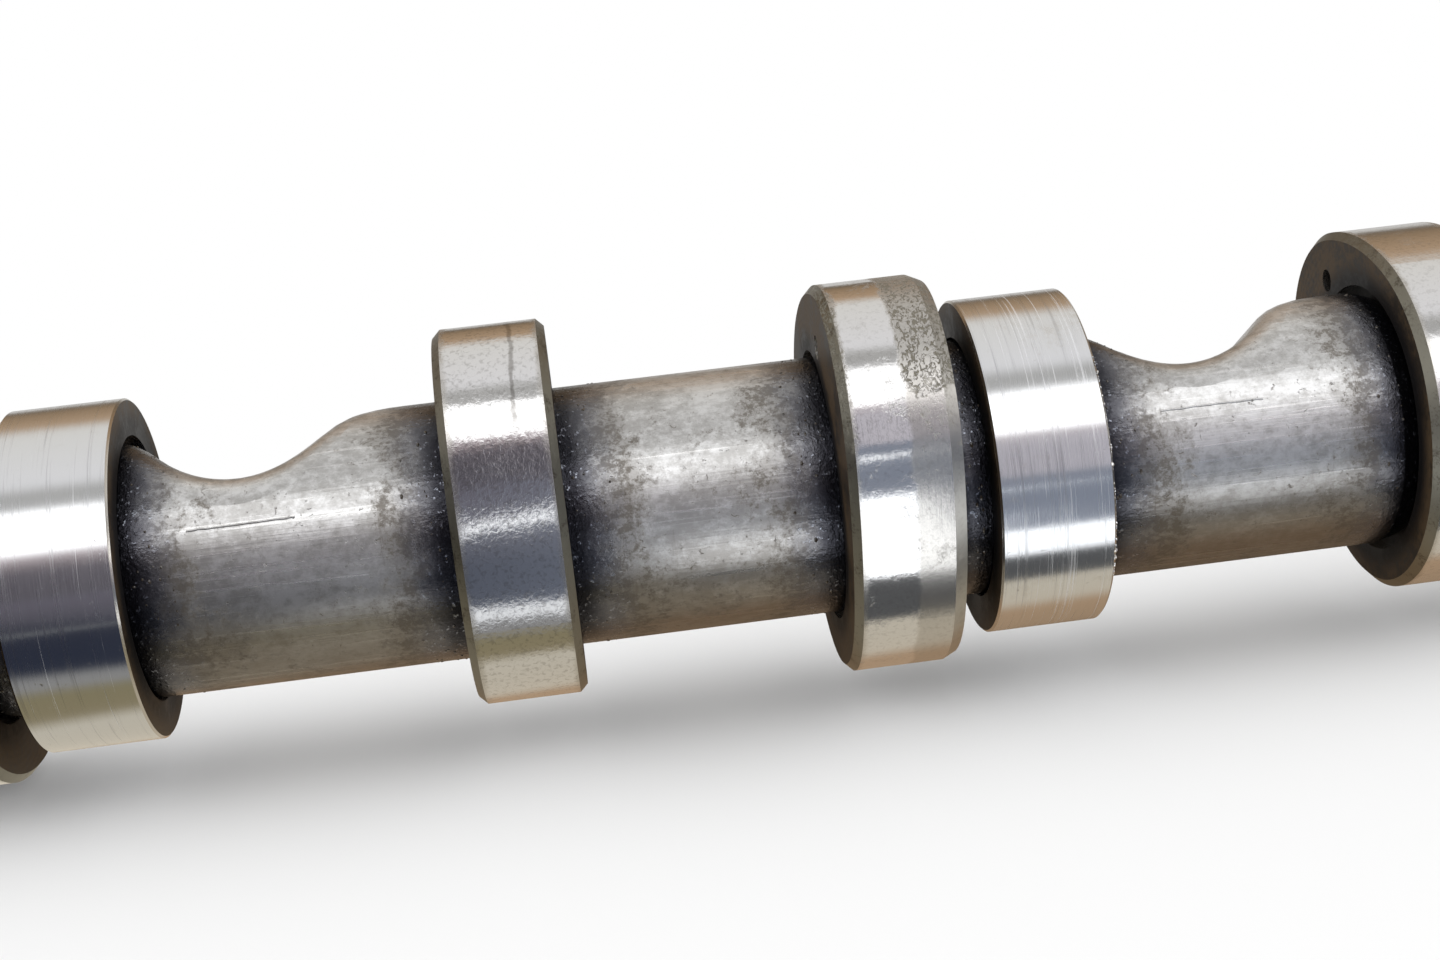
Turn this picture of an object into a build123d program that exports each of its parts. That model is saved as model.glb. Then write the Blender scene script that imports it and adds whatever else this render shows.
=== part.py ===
"""Assembled camshaft of a four-cylinder engine with two lobes for each cylinder.

The shaft's axis is X, from the drive end towards the rear.  The origin is on the axis, at the
front face of the thrust collar.  An angle round the shaft is measured from +Z towards +Y, and the shaft is
turned to the attitude in which it lies still on its lobes.
"""
from build123d import *
from math import atan2, cos, hypot, radians, sin, sqrt
import os

os.makedirs("parts", exist_ok=True)

# engine layout, along X
cylinder_pitch = 91.0
first_cylinder_x = 82.7          # from the thrust face to the centre line of cylinder 1
lobe_spacing = 35.8              # between the two lobes of a cylinder
ring_behind_cylinder = 32.3      # journal ring's centre, behind its cylinder's centre line
crank_step = 90.0                # camshaft degrees between firings
firing_order = (1, 3, 4, 2)

# attitude
first_nose_angle = -125.7        # nose of cylinder 1's front lobe, from +Z towards +Y
lobe_stagger = 12.9              # the rear lobe's nose trails the front lobe's
scoop_angle = 24.5

# tube
tube_r = 12.6
tube_bore_r = 10.1
seat_r = 11.7                    # unformed tube, under the lobes and rings
tube_start_x = 10.0
tube_end_x = 416.0
formed_edge = 1.0                # length of the rounding where the tube swells beside a lobe
groove_lip = 0.06                # the rounding runs out this far above the tube
soft_shoulder = 3.6              # length of the long soft shoulder before the last front lobe

# wrench scoops pressed into the tube
scoop_behind_ring = 16.0
scoop_floor = 5.3                # from the shaft's axis to the floor of the scoop
scoop_bowl_r = 9.8
scoop_bank_angle = 44.0          # steepest slope of the sides, reached at the end of the bowl
scoop_bank_length = 2.1
scoop_shoulder_r = 7.2
scoop_tail_angle = 20.0          # slope where the shoulder eases into the long tail
scoop_tail_r = 26.0
scoop_edge_r = 4.0               # rounding where the pressed floor meets the round of the tube
tube_wall = tube_r - tube_bore_r

# journal rings
journal_r = 16.5
journal_width = 10.8
journal_chamfer = 0.2
journal_recess_r = 12.9
recess_depth = 1.6

# cam lobes
lobe_width = 10.5
front_base_r = 17.2
nose_r = 12.9
nose_offset = 8.8
flank_r = 29.5
rear_growth = 1.37               # the rear lobe is the same outline, this much larger all round
lobe_chamfer = 0.75
broad_chamfer = (0.55, 1.15)     # down and along, on the rear edge of cylinder 3's rear lobe
lobe_recess_r = 13.3
mark_r = 1.15
mark_at_r = 15.6
mark_depth = 3.0
front_mark_turn = -21.3          # from the nose
rear_mark_turn = 25.6

# drive end
spigot_r = 14.0
spigot_length = 10.0
collar_r = 17.5
collar_width = 5.0
plug_length = 13.0
end_chamfer = 0.8
thread_r = 6.0
thread_depth = 24.0
drill_point_depth = 3.5
centre_cone_r = 7.2
dowel_r = 2.5
dowel_at_r = 10.0
dowel_length = 11.0
dowel_proud = 5.0
dowel_chamfer = 0.5

# rear end
wheel_behind_ring = 14.0
wheel_hub_r = 14.0
wheel_hub_width = 8.0
wheel_rim_r = 16.2
wheel_web_width = 3.0
wheel_gaps = ((20.0, 50.0), (110.0, 30.0), (190.0, 60.0), (290.0, 40.0))
cap_thickness = 2.0
cap_plug_length = 10.0
cap_dimple_r = 5.0
cap_dimple_depth = 1.0

cutter_spare = 1.0               # how far a cutter stands out of what it cuts
touch = 0.001                    # points closer than this are taken to be one

cylinders = (1, 2, 3, 4)
along = Plane.YZ                 # sketches across the shaft, extruded rearwards


def cylinder_x(number):
    return first_cylinder_x + (number - 1) * cylinder_pitch


def ring_x(number):
    """Centre of the journal ring behind a cylinder; ring 0 is the front one."""
    return cylinder_x(number) + ring_behind_cylinder


def front_nose(number):
    """Nose angle of a cylinder's front lobe."""
    return first_nose_angle + crank_step * firing_order.index(number)


def rod(radius, start, length):
    return Location((start, 0, 0)) * extrude(along * Circle(radius), length)


def turned(points):
    """Solid of revolution about the shaft's axis from (x, radius) corners."""
    return revolve(make_face(Polyline(*[(x, r, 0) for x, r in points], close=True)), Axis.X)


def recessed_bore(start, width, recess_r):
    """Bore for the tube's seat, relieved at both faces."""
    bore = rod(seat_r, start, width)
    front = rod(recess_r, start, recess_depth)
    rear = rod(recess_r, start + width - recess_depth, recess_depth)
    return bore + front + rear


def tangent_point(centre, outer_centre, radius):
    """Where a circle touches the larger flank circle that contains it."""
    dx = centre[0] - outer_centre[0]
    dy = centre[1] - outer_centre[1]
    reach = hypot(dx, dy)
    return (centre[0] + dx / reach * radius, centre[1] + dy / reach * radius)


def lobe_outline(growth):
    """Base circle, two flank arcs and a nose arc, all tangent; the nose points along local +Y."""
    base = front_base_r + growth
    nose = nose_r + growth
    flank = flank_r + growth
    reach = flank - base
    flank_y = (reach ** 2 - (flank - nose) ** 2 + nose_offset ** 2) / (2 * nose_offset)
    flank_x = sqrt(reach ** 2 - flank_y ** 2)
    low = tangent_point((0, 0), (-flank_x, flank_y), base)
    high = tangent_point((0, nose_offset), (-flank_x, flank_y), nose)
    low_turn = atan2(low[1] - flank_y, low[0] + flank_x)
    high_turn = atan2(high[1] - flank_y, high[0] + flank_x)
    middle_turn = (low_turn + high_turn) / 2
    middle = (-flank_x + flank * cos(middle_turn), flank_y + flank * sin(middle_turn))
    edges = [
        ThreePointArc(low, middle, high),
        ThreePointArc(high, (0, nose_offset + nose), (-high[0], high[1])),
        ThreePointArc((-high[0], high[1]), (-middle[0], middle[1]), (-low[0], low[1])),
        ThreePointArc((-low[0], low[1]), (0, -base), low),
    ]
    return make_face(edges)


def end_face(solid, x):
    """Flat face across the shaft at x."""
    return solid.faces().filter_by(Axis.X).filter_by_position(Axis.X, x - touch, x + touch)[0]


def cam_lobe(centre, nose_angle, growth, mark_turn, rear_edge):
    start = centre - lobe_width / 2
    end = centre + lobe_width / 2
    outline = along * (Rotation(0, 0, -nose_angle) * lobe_outline(growth))
    body = Location((start, 0, 0)) * extrude(outline, lobe_width)
    body = chamfer(end_face(body, start).edges(), lobe_chamfer)
    rear = end_face(body, end)
    body = body.chamfer(rear_edge[0], rear_edge[1], rear.edges(), rear)
    mark_angle = radians(nose_angle + mark_turn)
    mark = Location((start, mark_at_r * sin(mark_angle), mark_at_r * cos(mark_angle))) * extrude(
        along * Circle(mark_r), mark_depth)
    return body - recessed_bore(start, lobe_width, lobe_recess_r) - mark


def journal_ring(centre):
    start = centre - journal_width / 2
    end = centre + journal_width / 2
    edge = journal_r - journal_chamfer
    ring = turned([(start, 0), (start, edge), (start + journal_chamfer, journal_r),
                   (end - journal_chamfer, journal_r), (end, edge), (end, 0)])
    return ring - recessed_bore(start, journal_width, journal_recess_r)


def scoop_cutter(inset):
    """Trough across the shaft, with its whole profile moved inwards by inset.

    From its middle outwards the profile is a round bowl, a straight bank, a rounded shoulder
    and a long tail that runs out just above the tube.
    """
    steep = radians(scoop_bank_angle)
    gentle = radians(scoop_tail_angle)
    bowl_r = scoop_bowl_r + inset
    shoulder_r = scoop_shoulder_r - inset
    tail_r = scoop_tail_r - inset
    floor = scoop_floor - inset
    foot = (bowl_r * sin(steep), floor + bowl_r * (1 - cos(steep)))
    brow = (foot[0] + scoop_bank_length * cos(steep), foot[1] + scoop_bank_length * sin(steep))
    shoulder_centre = on_circle(brow, -shoulder_r, steep)
    ease = on_circle(shoulder_centre, shoulder_r, gentle)
    tail_centre = on_circle(ease, -tail_r, gentle)
    end = on_circle(tail_centre, tail_r, 0)
    top = (end[0], end[1] + tube_r)
    side = [
        Line(foot, brow),
        ThreePointArc(brow, on_circle(shoulder_centre, shoulder_r, (steep + gentle) / 2), ease),
        ThreePointArc(ease, on_circle(tail_centre, tail_r, gentle / 2), end),
        Line(end, top),
    ]
    bowl = ThreePointArc((-foot[0], foot[1]), (0, floor), foot)
    roof = Line(top, (-top[0], top[1]))
    other_side = [edge.mirror(Plane.YZ) for edge in side]
    return extrude(Plane.XZ * make_face([bowl, roof] + side + other_side), 2 * tube_r, both=True)


def on_circle(centre, radius, slope):
    """Point of a circle where the profile climbs away from the scoop at this slope."""
    return (centre[0] - radius * sin(slope), centre[1] + radius * cos(slope))


def scooped_rod(radius, inset):
    """Rod as long as the tube, with the scoops pressed in behind the first four rings."""
    solid = rod(radius, tube_start_x, tube_end_x - tube_start_x)
    cutter = Rotation(-scoop_angle, 0, 0) * scoop_cutter(inset)
    for number in (0,) + cylinders[:-1]:
        solid = solid - Location((ring_x(number) + scoop_behind_ring, 0, 0)) * cutter
    return solid


def scoop_rims(solid):
    """Edges where the scoops' faces meet the round of the tube."""
    ends = (tube_start_x, tube_end_x)
    rims = []
    for edge in solid.edges():
        points = (edge @ 0, edge @ 0.5, edge @ 1)
        on_tube = all(abs(hypot(point.Y, point.Z) - tube_r) < touch for point in points)
        at_end = any(abs(point.X - end) < touch for point in points for end in ends)
        if on_tube and not at_end:
            rims.append(edge)
    return rims


def seats():
    """Start and end of each seat, and the length of the rounding in front of it and behind it."""
    found = []
    for number in (0,) + cylinders:
        found.append((ring_x(number) - journal_width / 2, ring_x(number) + journal_width / 2, 0, 0))
    for number in cylinders:
        for side in (-0.5, 0.5):
            centre = cylinder_x(number) + side * lobe_spacing
            soft = number == cylinders[-1] and side < 0
            front = soft_shoulder if soft else formed_edge
            found.append((centre - lobe_width / 2, centre + lobe_width / 2, front, formed_edge))
    return found


def seat_groove(start, end, front, rear):
    """Ring removed from the full tube to leave a seat, with the tube rounded off beside it."""
    first = (start + recess_depth, seat_r)
    last = (end - recess_depth, seat_r)
    crest = tube_r + groove_lip
    before = (first[0] - front, crest) if front else first
    after = (last[0] + rear, crest) if rear else last
    roof = crest + cutter_spare
    edges = [
        Line(first, last),
        Polyline(after, (after[0], roof), (before[0], roof), before),
    ]
    if front:
        edges.append(TangentArc(before, first, tangent=(1, 0)))
    if rear:
        edges.append(TangentArc(after, last, tangent=(-1, 0)))
    return revolve(make_face(edges), Axis.X)


def shaft_tube():
    outside = scooped_rod(tube_r, 0)
    outside = outside.fillet(scoop_edge_r, scoop_rims(outside))
    for start, end, front, rear in seats():
        outside = outside - seat_groove(start, end, front, rear)
    return outside - scooped_rod(tube_bore_r, tube_wall)


def drive_end():
    """Spigot and thrust collar on a plug that is pressed into the tube, with a centre thread."""
    face = -spigot_length
    plug_end = tube_start_x + plug_length
    body = turned([
        (face, 0), (face, spigot_r - end_chamfer), (face + end_chamfer, spigot_r), (0, spigot_r),
        (0, collar_r - end_chamfer), (end_chamfer, collar_r), (collar_width - end_chamfer, collar_r),
        (collar_width, collar_r - end_chamfer), (collar_width, tube_r), (tube_start_x, tube_r),
        (tube_start_x, tube_bore_r), (plug_end - end_chamfer, tube_bore_r),
        (plug_end, tube_bore_r - end_chamfer), (plug_end, 0),
    ])
    cone = centre_cone_r - thread_r
    hole = turned([(face, 0), (face, centre_cone_r), (face + cone, thread_r), (face + thread_depth, thread_r),
                   (face + thread_depth + drill_point_depth, 0)])
    return body - hole - dowel(0)


def dowel(proud):
    sunk = dowel_length - dowel_proud
    return Location((0, 0, dowel_at_r)) * rod(dowel_r, -spigot_length - proud, sunk + proud)


def locating_dowel():
    pin = dowel(dowel_proud)
    return chamfer(pin.edges().filter_by(GeomType.CIRCLE).sort_by(Axis.X)[0], dowel_chamfer)


def sensor_wheel():
    start = ring_x(cylinders[-1]) + wheel_behind_ring - wheel_hub_width / 2
    hub = rod(wheel_hub_r, start, wheel_hub_width)
    web = rod(wheel_rim_r, start, wheel_web_width)
    for angle, span in wheel_gaps:
        outline = Rotation(0, 0, angle) * sector(wheel_hub_r, wheel_rim_r + cutter_spare, span)
        web = web - Location((start, 0, 0)) * extrude(along * outline, wheel_web_width)
    return hub + web - rod(tube_r, start, wheel_hub_width)


def sector(inner, outer, span):
    half = radians(span / 2)
    inner_ends = [(inner * cos(turn), inner * sin(turn)) for turn in (-half, half)]
    outer_ends = [(outer * cos(turn), outer * sin(turn)) for turn in (-half, half)]
    return make_face([
        ThreePointArc(inner_ends[0], (inner, 0), inner_ends[1]),
        Line(inner_ends[1], outer_ends[1]),
        ThreePointArc(outer_ends[1], (outer, 0), outer_ends[0]),
        Line(outer_ends[0], inner_ends[0]),
    ])


def rear_cap():
    back = tube_end_x + cap_thickness
    return turned([
        (tube_end_x - cap_plug_length, 0), (tube_end_x - cap_plug_length, tube_bore_r - end_chamfer),
        (tube_end_x - cap_plug_length + end_chamfer, tube_bore_r), (tube_end_x, tube_bore_r),
        (tube_end_x, tube_r), (back - end_chamfer, tube_r), (back, tube_r - end_chamfer),
        (back, cap_dimple_r), (back - cap_dimple_depth, cap_dimple_r - cap_dimple_depth),
        (back - cap_dimple_depth, 0),
    ])


def pieces():
    named = {
        "drive_end": drive_end(),
        "locating_dowel": locating_dowel(),
        "shaft_tube": shaft_tube(),
        "front_journal": journal_ring(ring_x(0)),
    }
    for number in cylinders:
        centre = cylinder_x(number)
        nose = front_nose(number)
        rear_edge = broad_chamfer if number == 3 else (lobe_chamfer, lobe_chamfer)
        named[f"lobe_{number}_front"] = cam_lobe(
            centre - lobe_spacing / 2, nose, 0, front_mark_turn, (lobe_chamfer, lobe_chamfer))
        named[f"lobe_{number}_rear"] = cam_lobe(
            centre + lobe_spacing / 2, nose - lobe_stagger, rear_growth, rear_mark_turn, rear_edge)
        named[f"journal_{number}"] = journal_ring(ring_x(number))
    named["sensor_wheel"] = sensor_wheel()
    named["rear_cap"] = rear_cap()
    return named


for node, solid in pieces().items():
    print(node, "volume %.0f mm3" % solid.volume, "solids", len(solid.solids()))
    export_step(solid, f"parts/{node}.step")
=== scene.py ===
import math
import bpy
from mathutils import Matrix, Vector


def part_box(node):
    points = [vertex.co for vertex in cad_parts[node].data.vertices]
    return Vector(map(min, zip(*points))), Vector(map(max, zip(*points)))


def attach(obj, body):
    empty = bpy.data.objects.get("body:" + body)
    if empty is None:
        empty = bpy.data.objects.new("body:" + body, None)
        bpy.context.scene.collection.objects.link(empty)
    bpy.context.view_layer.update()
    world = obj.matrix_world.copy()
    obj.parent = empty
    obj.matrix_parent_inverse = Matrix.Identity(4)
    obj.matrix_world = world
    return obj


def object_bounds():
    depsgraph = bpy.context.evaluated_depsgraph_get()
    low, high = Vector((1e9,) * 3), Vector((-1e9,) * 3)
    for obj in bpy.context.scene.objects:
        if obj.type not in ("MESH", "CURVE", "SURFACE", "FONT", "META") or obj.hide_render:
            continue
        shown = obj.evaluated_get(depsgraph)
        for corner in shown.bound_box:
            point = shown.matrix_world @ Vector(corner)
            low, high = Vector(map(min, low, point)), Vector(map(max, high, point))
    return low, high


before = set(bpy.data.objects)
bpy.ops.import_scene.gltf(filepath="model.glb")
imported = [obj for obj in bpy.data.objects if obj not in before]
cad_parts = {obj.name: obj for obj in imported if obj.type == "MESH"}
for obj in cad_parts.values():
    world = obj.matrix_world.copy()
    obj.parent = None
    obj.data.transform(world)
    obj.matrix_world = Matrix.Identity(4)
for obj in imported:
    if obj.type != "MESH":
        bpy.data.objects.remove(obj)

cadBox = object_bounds()  # box of the bare model, before anything is added
scene = bpy.context.scene
mm = 0.001
number, vector = "NodeSocketFloat", "NodeSocketVector"
wholeNumber, thing, geometry = "NodeSocketInt", "NodeSocketObject", "NodeSocketGeometry"
nodes = sorted(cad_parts)
pressedOn = [name for name in nodes if name.startswith("lobe_") or "journal" in name]


def spanAlong(name):
    low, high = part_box(name)
    return low[0], high[0]


# short words for the nodes that every tree here is made of
class Graph:
    def __init__(self, tree):
        self.tree = tree
        self.count = 0

    def add(self, kind, **settings):
        node = self.tree.nodes.new(kind)
        node.location = (180 * (self.count % 12), -220 * (self.count // 12))
        self.count += 1
        for name, value in settings.items():
            setattr(node, name, value)
        return node

    def feed(self, socket, value):
        if isinstance(value, bpy.types.NodeSocket):
            self.tree.links.new(value, socket)
        elif value is not None:
            socket.default_value = value

    def math(self, operation, a, b=None, clamp=False):
        node = self.add("ShaderNodeMath", operation=operation, use_clamp=clamp)
        for socket, value in zip(node.inputs, (a, b)):
            self.feed(socket, value)
        return node.outputs[0]

    def plus(self, a, b):
        return self.math("ADD", a, b)

    def less(self, a, b):
        return self.math("SUBTRACT", a, b)

    def both(self, a, b):
        return self.math("MULTIPLY", a, b)

    def average(self, a, b):
        return self.plus(self.both(a, 0.5), self.both(b, 0.5))

    def fade(self, value, low, high, start=0.0, end=1.0):
        node = self.add("ShaderNodeMapRange", interpolation_type="SMOOTHSTEP")
        names = ("Value", "From Min", "From Max", "To Min", "To Max")
        for name, item in zip(names, (value, low, high, start, end)):
            self.feed(node.inputs[name], item)
        return node.outputs["Result"]

    def mix(self, factor, a, b, blend="MIX"):
        node = self.add("ShaderNodeMix", data_type="RGBA", blend_type=blend, clamp_factor=True)
        for place, value in ((0, factor), (6, a), (7, b)):
            self.feed(node.inputs[place], value)
        return node.outputs[2]

    def blend(self, factor, a, b):
        node = self.add("ShaderNodeMix", data_type="FLOAT", clamp_factor=True)
        for place, value in ((0, factor), (2, a), (3, b)):
            self.feed(node.inputs[place], value)
        return node.outputs[0]

    # stretches a pattern, and moves it on by a different length on each axis
    def stretch(self, point, scale=(1, 1, 1), shift=0.0):
        node = self.add("ShaderNodeMapping")
        self.feed(node.inputs["Vector"], point)
        node.inputs["Scale"].default_value = scale
        node.inputs["Location"].default_value = (shift, shift * 0.7, shift * 1.3)
        return node.outputs[0]

    def noise(self, point, scale, detail=4.0, roughness=0.6, distortion=0.0):
        node = self.add("ShaderNodeTexNoise")
        names = ("Vector", "Scale", "Detail", "Roughness", "Distortion")
        for name, value in zip(names, (point, scale, detail, roughness, distortion)):
            self.feed(node.inputs[name], value)
        return node.outputs["Fac"]

    def split(self, value):
        node = self.add("ShaderNodeSeparateXYZ")
        self.feed(node.inputs[0], value)
        return node.outputs

    def ramp(self, value, stops):
        node = self.add("ShaderNodeValToRGB")
        band = node.color_ramp.elements
        while len(band) < len(stops):
            band.new(0.5)
        for element, (place, shade) in zip(band, sorted(stops)):
            element.position = place
            element.color = (*shade, 1)
        self.feed(node.inputs[0], value)
        return node.outputs[0]

    def group(self, tree, **values):
        node = self.add("ShaderNodeGroup")
        node.node_tree = tree
        for name, value in values.items():
            self.feed(node.inputs[name], value)
        return node.outputs


def newGroup(name, inputs, outputs):
    tree = bpy.data.node_groups.new(name, "ShaderNodeTree")
    for label, kind, value in inputs:
        socket = tree.interface.new_socket(label, in_out="INPUT", socket_type=kind)
        if value is not None:
            socket.default_value = value
    for label, kind in outputs:
        tree.interface.new_socket(label, in_out="OUTPUT", socket_type=kind)
    g = Graph(tree)
    return g, g.add("NodeGroupInput").outputs, g.add("NodeGroupOutput").inputs


# where a point lies: along the shaft, out from its axis, round it from the top,
# and how far it faces endwise
def shaftPlaceGroup():
    outputs = [(label, number) for label in ("Along", "Radius", "Turn", "Facing")]
    g, _, out = newGroup("shaftPlace", [], [("Point", vector)] + outputs)
    point = g.add("ShaderNodeTexCoord").outputs["Object"]
    x, y, z = g.split(point)
    normal = g.split(g.add("ShaderNodeNewGeometry").outputs["Normal"])
    g.feed(out["Point"], point)
    g.feed(out["Along"], x)
    g.feed(out["Radius"], g.math("SQRT", g.plus(g.both(y, y), g.both(z, z))))
    g.feed(out["Turn"], g.math("DEGREES", g.math("ARCTAN2", y, z)))
    g.feed(out["Facing"], g.math("ABSOLUTE", normal[0]))
    return g.tree


# gap along the shaft to the nearest ring or lobe that is pressed on it
def besideGroup():
    g, given, out = newGroup("besidePressedOn", [("Along", number, 0.0)], [("Gap", number)])
    nearest = None
    for name in pressedOn:
        low, high = spanAlong(name)
        offset = g.math("ABSOLUTE", g.less(given["Along"], (low + high) / 2))
        gap = g.less(offset, (high - low) / 2)
        nearest = gap if nearest is None else g.math("MINIMUM", nearest, gap)
    g.feed(out["Gap"], nearest)
    return g.tree


# a noise is given as scale, detail, roughness and distortion, and a mask starts where it
# passes the edge, which drops as more of the effect is asked for
scratchLook = {
    "thin": (1.0, 3.0, 0.75),
    "wide": (0.27, 2.0, 0.6),
    "edge": 0.68,
    "drop": 0.2,
    "width": 0.07,
}


# fine lines: noise drawn out along one direction, in two widths
def scratchGroup():
    inputs = [("Vector", vector, None), ("Amount", number, 0.5)]
    g, given, out = newGroup("fineScratches", inputs, [("Mask", number), ("Height", number)])
    look = scratchLook
    thin = g.noise(given["Vector"], *look["thin"])
    wide = g.noise(given["Vector"], *look["wide"])
    lines = g.average(thin, wide)
    edge = g.less(look["edge"], g.both(given["Amount"], look["drop"]))
    g.feed(out["Height"], lines)
    g.feed(out["Mask"], g.fade(lines, edge, g.plus(edge, look["width"])))
    return g.tree


stainLook = {
    "wide": (4.0, 0.6, 0.5),
    "small": (6.0, 0.8),
    "smaller": 8.0,
    "edge": 0.62,
    "drop": 0.22,
}


# soft blotches broken up by finer ones
def stainGroup():
    inputs = [("Vector", vector, None), ("Scale", number, 100.0)]
    inputs += [("Cover", number, 0.5), ("Softness", number, 0.12)]
    g, given, out = newGroup("stain", inputs, [("Mask", number)])
    look = stainLook
    smallScale = g.both(given["Scale"], look["smaller"])
    wide = g.noise(given["Vector"], given["Scale"], *look["wide"])
    small = g.noise(given["Vector"], smallScale, *look["small"])
    mixed = g.average(wide, small)
    edge = g.less(look["edge"], g.both(given["Cover"], look["drop"]))
    g.feed(out["Mask"], g.fade(mixed, edge, g.plus(edge, given["Softness"])))
    return g.tree


pitLook = {"speck": (5.0, 0.62, 1.2), "edge": 0.72, "drop": 0.22, "width": 0.08}


# specks and short worm-like pits
def pitGroup():
    inputs = [("Vector", vector, None), ("Scale", number, 1500.0), ("Cover", number, 0.5)]
    g, given, out = newGroup("pits", inputs, [("Mask", number), ("Height", number)])
    look = pitLook
    speck = g.noise(given["Vector"], given["Scale"], *look["speck"])
    edge = g.less(look["edge"], g.both(given["Cover"], look["drop"]))
    mask = g.fade(speck, edge, g.plus(edge, look["width"]))
    g.feed(out["Mask"], mask)
    g.feed(out["Height"], g.less(1.0, mask))
    return g.tree


shaftPlace = shaftPlaceGroup()
besidePressedOn = besideGroup()
fineScratches = scratchGroup()
stain = stainGroup()
pits = pitGroup()
print("effects ready")


def lineMarks(g, at, scale, amount, shift=0.0):
    return g.group(fineScratches, Vector=g.stretch(at["Point"], scale, shift), Amount=amount)


def stainMarks(g, at, scale, cover, shift=0.0, **more):
    point = g.stretch(at["Point"], shift=shift)
    return g.group(stain, Vector=point, Scale=scale, Cover=cover, **more)["Mask"]


# a material with nothing in it but its output
def bareMaterial(name):
    material = bpy.data.materials.new(name)
    material.use_nodes = True
    material.node_tree.nodes.clear()
    g = Graph(material.node_tree)
    return material, g, g.add("ShaderNodeOutputMaterial").inputs["Surface"]


def newMaterial(name):
    material, g, surface = bareMaterial(name)
    shader = g.add("ShaderNodeBsdfPrincipled")
    g.feed(surface, shader.outputs[0])
    return material, g, shader


def finishMaterial(g, shader, shade, metal, rough, height, depth):
    bump = g.add("ShaderNodeBump")
    bump.inputs["Distance"].default_value = depth
    g.feed(bump.inputs["Height"], height)
    g.feed(shader.inputs["Base Color"], shade)
    g.feed(shader.inputs["Metallic"], metal)
    g.feed(shader.inputs["Roughness"], rough)
    g.feed(shader.inputs["Normal"], bump.outputs[0])


# grinding lines run round the piece, so its gleam is drawn out along the shaft
def roundGrain(g, shader, amount):
    tangent = g.add("ShaderNodeTangent", direction_type="RADIAL", axis="X")
    g.feed(shader.inputs["Tangent"], tangent.outputs[0])
    shader.inputs["Anisotropic"].default_value = amount
    shader.inputs["Anisotropic Rotation"].default_value = 0.25  # a quarter turn


# shares are how far a colour covers the one under it, and the rough and height entries
# are added to the surface where their effect lies
sideLook = {
    "bare": (0.066, 0.043, 0.023, 1),
    "film": (0.020, 0.014, 0.009, 1),
    # oil: colour of the painted shade near the bore, which starts at bareRadius and is full at
    # the radius below it
    "oil": (0.007, 0.006, 0.006, 1),
    "bareRadius": 16.2 * mm,
    "boreShadeRadius": 13.8 * mm,
    "filmScale": 170.0,
    "filmCover": 0.75,
    "bareRough": 0.6,
    "filmRough": 0.5,
    "markStretch": (40, 40, 40),
    "markNoise": (1.0, 3.0),
    "markPitch": 9000.0,
    "markWander": 6.0,
    "markHeight": 0.1,
    "metal": 0.0,
    "specular": 0.16,
}


# end faces keep a dark, oily film over faint turning marks, and a painted shade near the bore
def sideFace(g, at, shift):
    look = sideLook
    turning = g.noise(g.stretch(at["Point"], look["markStretch"], shift), *look["markNoise"])
    marks = g.plus(g.both(at["Radius"], look["markPitch"]), g.both(turning, look["markWander"]))
    film = stainMarks(g, at, look["filmScale"], look["filmCover"], shift)
    # painted shade: the face darkens towards the bore, in the corner where it meets the tube
    deep = g.fade(at["Radius"], look["bareRadius"], look["boreShadeRadius"])
    shade = g.mix(film, look["bare"], look["film"])
    shade = g.mix(deep, shade, look["oil"])
    rough = g.blend(film, look["bareRough"], look["filmRough"])
    return shade, rough, g.both(g.math("SINE", marks), look["markHeight"])


journalLook = {
    "steel": (0.66, 0.66, 0.66, 1),
    "worn": (0.40, 0.40, 0.41, 1),
    "wornShare": 0.45,
    "tarnish": (0.40, 0.34, 0.25, 1),
    "tarnishScale": 95.0,
    "tarnishShare": 0.2,
    "edgeShare": 0.5,
    "score": (0.80, 0.80, 0.82, 1),
    "scoreShare": 0.55,
    "scoreGlint": 0.3,
    "spot": (0.12, 0.10, 0.08, 1),
    "spotScale": 1300.0,
    "spotCover": 0.18,
    "spotShare": 0.7,
    "fineLines": (9500, 90, 90),
    "fineAmount": 0.7,
    "scoreLines": (11000, 75, 75),
    "rough": 0.2,
    "lineRough": 0.1,
    "scoreRough": 0.12,
    "tarnishRough": 0.08,
    "lineHeight": 0.8,
    "scoreHeight": 0.9,
    "spotDepth": 0.8,
    "relief": 0.02 * mm,
    "grain": 0.75,
    "sideFrom": (0.82, 0.95),
    "edgeFrom": (0.2, 0.6),
}

# how scored and how tarnished each journal ring is
journalWear = {"usual": (0.4, 0.35), "journal_2": (0.3, 0.3), "journal_3": (0.6, 0.35)}


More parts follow.
